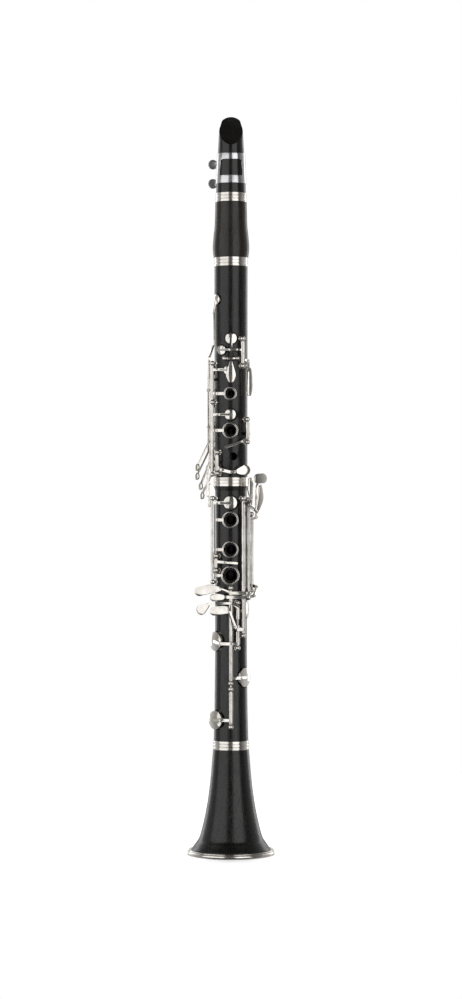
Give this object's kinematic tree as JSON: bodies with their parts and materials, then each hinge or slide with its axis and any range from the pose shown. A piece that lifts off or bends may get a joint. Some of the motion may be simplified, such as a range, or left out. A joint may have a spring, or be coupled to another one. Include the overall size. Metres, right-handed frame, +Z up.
{
  "type": "soprano clarinet",
  "caption": "Soprano clarinet standing on its bell: black wood body, silver-plated ring keys, trill keys and levers on posts, mouthpiece with reed and ligature.",
  "frame": {"origin": "centre of the bell rim's lowest face, which the instrument stands on", "axes": "+Z up the bore to the mouthpiece tip, -Y the front with the finger holes, +X to the right of someone who faces the front"},
  "size_m": [0.079, 0.079, 0.6655],
  "materials": {
    "grenadilla": "oiled black hardwood, satin",
    "barrel_wood": "oiled dark hardwood, satin",
    "ebonite": "polished hard rubber",
    "cane": "planed cane",
    "cork": "cork sheet",
    "pad_skin": "skin over felt",
    "steel": "turned steel rod",
    "bush_metal": "plated, polished",
    "ligature_metal": "plated, polished",
    "ring_metal": "silver plate, polished",
    "post_metal": "silver plate, polished",
    "key_metal": "silver plate, polished"
  },
  "bodies": {
    "clarinet_body": {"upper_joint_body": "grenadilla", "upper_joint_corks": "cork", "lower_joint_body": "grenadilla", "lower_joint_socket_ring": "ring_metal", "lower_joint_tenon_cork": "cork", "hole_bushes": "bush_metal", "upper_joint_posts": "post_metal", "lower_joint_posts": "post_metal", "hinge_rods": "steel", "thumb_rest_base": "key_metal"},
    "bell": {"bell": "grenadilla", "bell_rings": "ring_metal"},
    "barrel": {"barrel": "barrel_wood", "barrel_rings": "ring_metal"},
    "mouthpiece": {"mouthpiece": "ebonite", "mouthpiece_cork": "cork", "reed": "cane", "ligature_band": "ligature_metal"},
    "ligature_screw_upper": {"ligature_screw_upper": "ligature_metal"},
    "ligature_screw_lower": {"ligature_screw_lower": "ligature_metal"},
    "thumb_rest": {"thumb_rest": "key_metal"},
    "upper_ring_key": {"upper_ring_key": "key_metal", "upper_ring_pad": "pad_skin"},
    "bridge_key": {"bridge_key": "key_metal", "bridge_pad": "pad_skin"},
    "lower_ring_key": {"lower_ring_key": "key_metal", "lower_ring_pad": "pad_skin"},
    "thumb_ring_key": {"thumb_ring_key": "key_metal"},
    "g_sharp_key": {"g_sharp_key": "key_metal", "g_sharp_pad": "pad_skin"},
    "upper_sliver_key": {"upper_sliver_key": "key_metal", "upper_sliver_pad": "pad_skin"},
    "c_sharp_key": {"c_sharp_key": "key_metal", "c_sharp_pad": "pad_skin"},
    "lower_sliver_key": {"lower_sliver_key": "key_metal", "lower_sliver_pad": "pad_skin"},
    "f_c_key": {"f_c_key": "key_metal", "f_c_pad": "pad_skin"},
    "a_flat_e_flat_key": {"a_flat_e_flat_key": "key_metal", "a_flat_e_flat_pad": "pad_skin"},
    "f_sharp_c_sharp_key": {"f_sharp_c_sharp_key": "key_metal", "f_sharp_c_sharp_pad": "pad_skin"},
    "e_b_key": {"e_b_key": "key_metal", "e_b_pad": "pad_skin"},
    "left_f_c_lever": {"left_f_c_lever": "key_metal"},
    "left_e_b_lever": {"left_e_b_lever": "key_metal"},
    "left_f_sharp_lever": {"left_f_sharp_lever": "key_metal"},
    "a_key": {"a_key": "key_metal", "a_pad": "pad_skin"},
    "register_key": {"register_key": "key_metal", "register_pad": "pad_skin"},
    "trill_key_1": {"trill_key_1": "key_metal", "trill_pad_1": "pad_skin"},
    "trill_key_2": {"trill_key_2": "key_metal", "trill_pad_2": "pad_skin"},
    "trill_key_3": {"trill_key_3": "key_metal", "trill_pad_3": "pad_skin"},
    "trill_key_4": {"trill_key_4": "key_metal", "trill_pad_4": "pad_skin"}
  },
  "joints": [
    {"name": "bell_twist", "type": "hinge", "parent": "clarinet_body", "child": "bell", "pos_m": [0, 0, 0.1025], "axis": [0, 0, 1], "continuous": true},
    {"name": "barrel_pull", "type": "slide", "parent": "clarinet_body", "child": "barrel", "axis": [0, 0, 1], "range_m": [0, 0.003]},
    {"name": "mouthpiece_twist", "type": "hinge", "parent": "barrel", "child": "mouthpiece", "pos_m": [0, 0, 0.5955], "axis": [0, 0, 1], "continuous": true},
    {"name": "ligature_screw_lower_turn", "type": "hinge", "parent": "mouthpiece", "child": "ligature_screw_lower", "pos_m": [0, 0.0137, 0.6057], "axis": [1, 0, 0], "continuous": true},
    {"name": "ligature_screw_upper_turn", "type": "hinge", "parent": "mouthpiece", "child": "ligature_screw_upper", "pos_m": [0, 0.0137, 0.6231], "axis": [1, 0, 0], "continuous": true},
    {"name": "thumb_rest_slide", "type": "slide", "parent": "clarinet_body", "child": "thumb_rest", "axis": [0, 0, 1], "range_m": [-0.006, 0.006]},
    {"name": "upper_ring_key_hinge", "type": "hinge", "parent": "clarinet_body", "child": "upper_ring_key", "pos_m": [-0.01684, -0.00953, 0.4245], "axis": [0, 0, 1], "range_deg": [0, 5.5], "stiffness_Nm_per_rad": 0.03, "springref_deg": -17.19},
    {"name": "bridge_key_hinge", "type": "hinge", "parent": "clarinet_body", "child": "bridge_key", "pos_m": [-0.01684, -0.00953, 0.3745], "axis": [0, 0, 1], "range_deg": [0, 5.5], "stiffness_Nm_per_rad": 0.03, "springref_deg": -17.19},
    {"name": "lower_ring_key_hinge", "type": "hinge", "parent": "clarinet_body", "child": "lower_ring_key", "pos_m": [-0.01645, -0.00931, 0.2835], "axis": [0, 0, 1], "range_deg": [0, 5.5], "stiffness_Nm_per_rad": 0.03, "springref_deg": -17.19},
    {"name": "thumb_ring_key_hinge", "type": "hinge", "parent": "clarinet_body", "child": "thumb_ring_key", "pos_m": [-0.01082, 0.01604, 0.4345], "axis": [0, 0, -1], "range_deg": [0, 9], "stiffness_Nm_per_rad": 0.03, "springref_deg": -17.19},
    {"name": "g_sharp_key_hinge", "type": "hinge", "parent": "clarinet_body", "child": "g_sharp_key", "pos_m": [0.01054, -0.01623, 0.4515], "axis": [0, 0, 1], "range_deg": [0, 7], "stiffness_Nm_per_rad": 0.03, "springref_deg": -17.19},
    {"name": "upper_sliver_key_hinge", "type": "hinge", "parent": "clarinet_body", "child": "upper_sliver_key", "pos_m": [0.01482, -0.01244, 0.3815], "axis": [0, 0, -1], "range_deg": [0, 9], "stiffness_Nm_per_rad": 0.03, "springref_deg": -17.19},
    {"name": "c_sharp_key_hinge", "type": "hinge", "parent": "clarinet_body", "child": "c_sharp_key", "pos_m": [-0.01244, -0.01482, 0.3525], "axis": [0, 0, 1], "range_deg": [0, 6.5], "stiffness_Nm_per_rad": 0.03, "springref_deg": -17.19},
    {"name": "lower_sliver_key_hinge", "type": "hinge", "parent": "clarinet_body", "child": "lower_sliver_key", "pos_m": [-0.01336, -0.01336, 0.2625], "axis": [0, 0, 1], "range_deg": [0, 6], "stiffness_Nm_per_rad": 0.03, "springref_deg": -17.19},
    {"name": "f_c_key_hinge", "type": "hinge", "parent": "clarinet_body", "child": "f_c_key", "pos_m": [0.00609, -0.01789, 0.1975], "axis": [0, 0, -1], "range_deg": [0, 7.5], "stiffness_Nm_per_rad": 0.03, "springref_deg": -17.19},
    {"name": "a_flat_e_flat_key_hinge", "type": "hinge", "parent": "clarinet_body", "child": "a_flat_e_flat_key", "pos_m": [0.00609, -0.01789, 0.2185], "axis": [0, 0, -1], "range_deg": [0, 8.5], "stiffness_Nm_per_rad": 0.03, "springref_deg": -17.19},
    {"name": "f_sharp_c_sharp_key_hinge", "type": "hinge", "parent": "clarinet_body", "child": "f_sharp_c_sharp_key", "pos_m": [0, -0.0189, 0.1955], "axis": [0, 0, -1], "range_deg": [0, 9], "stiffness_Nm_per_rad": 0.03, "springref_deg": -17.19},
    {"name": "e_b_key_hinge", "type": "hinge", "parent": "clarinet_body", "child": "e_b_key", "pos_m": [0, -0.0189, 0.1325], "axis": [0, 0, -1], "range_deg": [0, 9], "stiffness_Nm_per_rad": 0.03, "springref_deg": -17.19},
    {"name": "left_f_c_lever_hinge", "type": "hinge", "parent": "clarinet_body", "child": "left_f_c_lever", "pos_m": [0.01111, -0.01529, 0.2525], "axis": [0, 0, 1], "range_deg": [0, 10.6], "stiffness_Nm_per_rad": 0.03, "springref_deg": -17.19},
    {"name": "left_e_b_lever_hinge", "type": "hinge", "parent": "clarinet_body", "child": "left_e_b_lever", "pos_m": [0.01559, -0.01068, 0.2725], "axis": [0, 0, 1], "range_deg": [0, 11.2], "stiffness_Nm_per_rad": 0.03, "springref_deg": -17.19},
    {"name": "left_f_sharp_lever_hinge", "type": "hinge", "parent": "clarinet_body", "child": "left_f_sharp_lever", "pos_m": [0.01849, -0.00393, 0.2725], "axis": [0, 0, 1], "range_deg": [0, 8], "stiffness_Nm_per_rad": 0.03, "springref_deg": -17.19},
    {"name": "a_key_hinge", "type": "hinge", "parent": "clarinet_body", "child": "a_key", "pos_m": [0, -0.01815, 0.446], "axis": [1, 0, 0], "range_deg": [0, 5], "stiffness_Nm_per_rad": 0.03, "springref_deg": -17.19},
    {"name": "register_key_hinge", "type": "hinge", "parent": "clarinet_body", "child": "register_key", "pos_m": [0, 0.01815, 0.4715], "axis": [-1, 0, 0], "range_deg": [0, 4.5], "stiffness_Nm_per_rad": 0.03, "springref_deg": -17.19},
    {"name": "trill_key_1_hinge", "type": "hinge", "parent": "clarinet_body", "child": "trill_key_1", "pos_m": [-0.0203, -0.00285, 0.418], "axis": [0.1392, -0.9903, 0], "range_deg": [0, 1.7], "stiffness_Nm_per_rad": 0.08, "springref_deg": -17.19},
    {"name": "trill_key_2_hinge", "type": "hinge", "parent": "clarinet_body", "child": "trill_key_2", "pos_m": [-0.02037, 0.00232, 0.385], "axis": [-0.1132, -0.9936, 0], "range_deg": [0, 2.3], "stiffness_Nm_per_rad": 0.08, "springref_deg": -17.19},
    {"name": "trill_key_3_hinge", "type": "hinge", "parent": "clarinet_body", "child": "trill_key_3", "pos_m": [-0.01914, 0.00735, 0.372], "axis": [-0.3584, -0.9336, 0], "range_deg": [0, 3.2], "stiffness_Nm_per_rad": 0.08, "springref_deg": -17.19},
    {"name": "trill_key_4_hinge", "type": "hinge", "parent": "clarinet_body", "child": "trill_key_4", "pos_m": [-0.01669, 0.0119, 0.366], "axis": [-0.5807, -0.8141, 0], "range_deg": [0, 5], "stiffness_Nm_per_rad": 0.08, "springref_deg": -17.19}
  ],
  "couplings": [
    {"joint": "bridge_key_hinge", "follows": "lower_ring_key_hinge", "ratio": 1},
    {"joint": "thumb_ring_key_hinge", "follows": "upper_ring_key_hinge", "ratio": 1.63},
    {"joint": "left_f_c_lever_hinge", "follows": "f_c_key_hinge", "ratio": 1.4},
    {"joint": "left_e_b_lever_hinge", "follows": "e_b_key_hinge", "ratio": 1.23},
    {"joint": "left_f_sharp_lever_hinge", "follows": "f_sharp_c_sharp_key_hinge", "ratio": 0.87}
  ]
}
